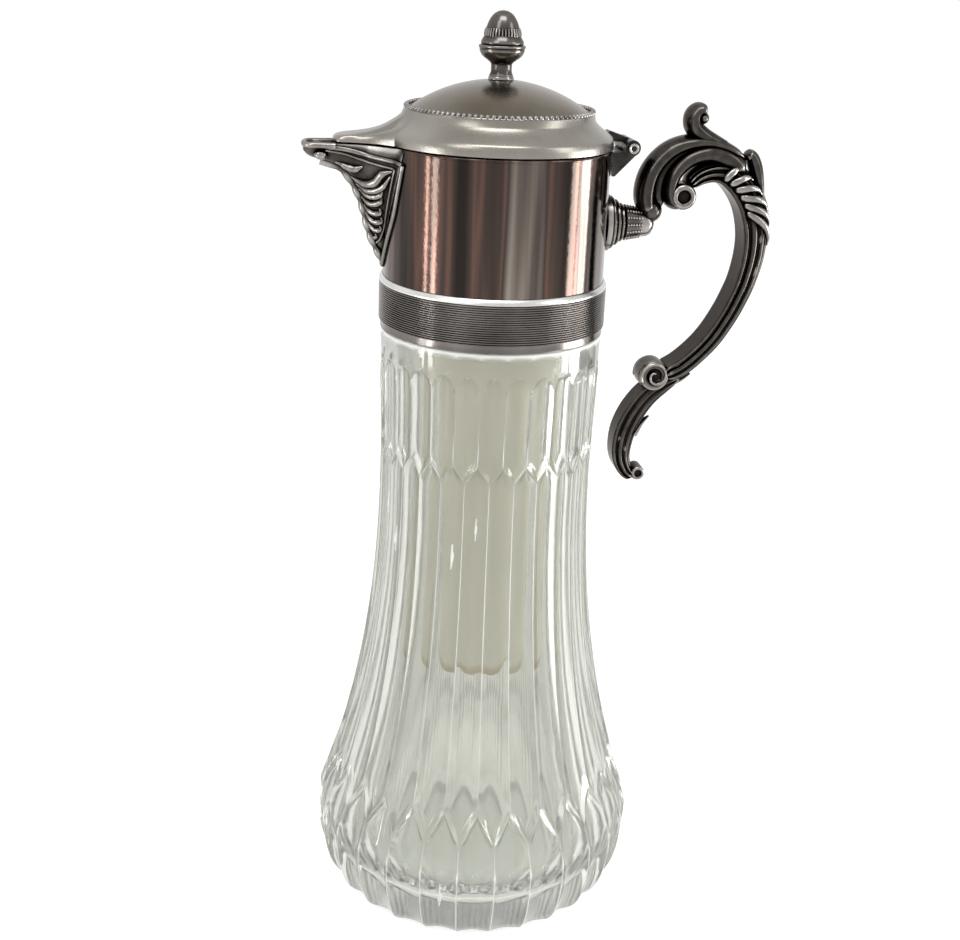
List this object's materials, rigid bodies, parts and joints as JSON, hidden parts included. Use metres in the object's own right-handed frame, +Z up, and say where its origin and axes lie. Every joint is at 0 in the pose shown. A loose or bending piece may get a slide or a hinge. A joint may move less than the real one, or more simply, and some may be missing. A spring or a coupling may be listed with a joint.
{
  "type": "beverage carafe",
  "caption": "Fluted glass carafe with a plated collar, pouring spout, scroll handle, hinged domed lid with an acorn finial and a hanging ice tube.",
  "frame": {"origin": "centre of the base on the surface it stands on", "axes": "+Z up along the flask, +X towards the handle, -X towards the spout, lid hinge along Y"},
  "size_m": [0.1549, 0.1148, 0.3093],
  "materials": {
    "pressed_glass": "clear pressed glass with a faint green tint",
    "cream_plastic": "smooth cream plastic",
    "seal_rubber": "pale soft rubber",
    "thread_brass": "plain turned brass",
    "polished_plate": "polished silver plate with fine wear",
    "satin_plate": "soft polished silver plate, slightly worn",
    "oxidised_plate": "cast silver plate with dark oxidised recesses"
  },
  "bodies": {
    "flask": {"glass_flask": "pressed_glass"},
    "insert": {"ice_tube": "cream_plastic", "hanger_ring": "cream_plastic"},
    "seal": {"neck_gasket": "seal_rubber"},
    "head": {"threaded_ring": "thread_brass", "reeded_band": "polished_plate", "collar_shell": "polished_plate", "collar_shelf": "polished_plate", "pour_spout": "oxidised_plate", "handle_socket": "oxidised_plate", "handle_stud": "thread_brass", "handle": "oxidised_plate", "hinge_bracket": "oxidised_plate", "hinge_pin": "thread_brass"},
    "lid": {"lid_shell": "satin_plate", "lid_leaf": "satin_plate", "bead_ring": "satin_plate", "finial_washer": "satin_plate", "finial_stem": "satin_plate", "finial_acorn": "satin_plate", "finial_nut": "thread_brass"}
  },
  "joints": [
    {"name": "insert_lift", "type": "slide", "parent": "flask", "child": "insert", "axis": [0, 0, 1], "range_m": [0, 0.15]},
    {"name": "head_rise", "type": "slide", "parent": "insert", "child": "seal", "axis": [0, 0, 1], "range_m": [0, 0.004]},
    {"name": "head_turn", "type": "hinge", "parent": "seal", "child": "head", "pos_m": [0, 0, 0.22], "axis": [0, 0, 1], "range_deg": [0, 360]},
    {"name": "lid_hinge", "type": "hinge", "parent": "head", "child": "lid", "pos_m": [0.0424, 0, 0.269], "axis": [0, 1, 0], "range_deg": [0, 95]}
  ],
  "couplings": [
    {"joint": "head_rise", "follows": "head_turn", "m_per_rad": 0.0006366}
  ]
}
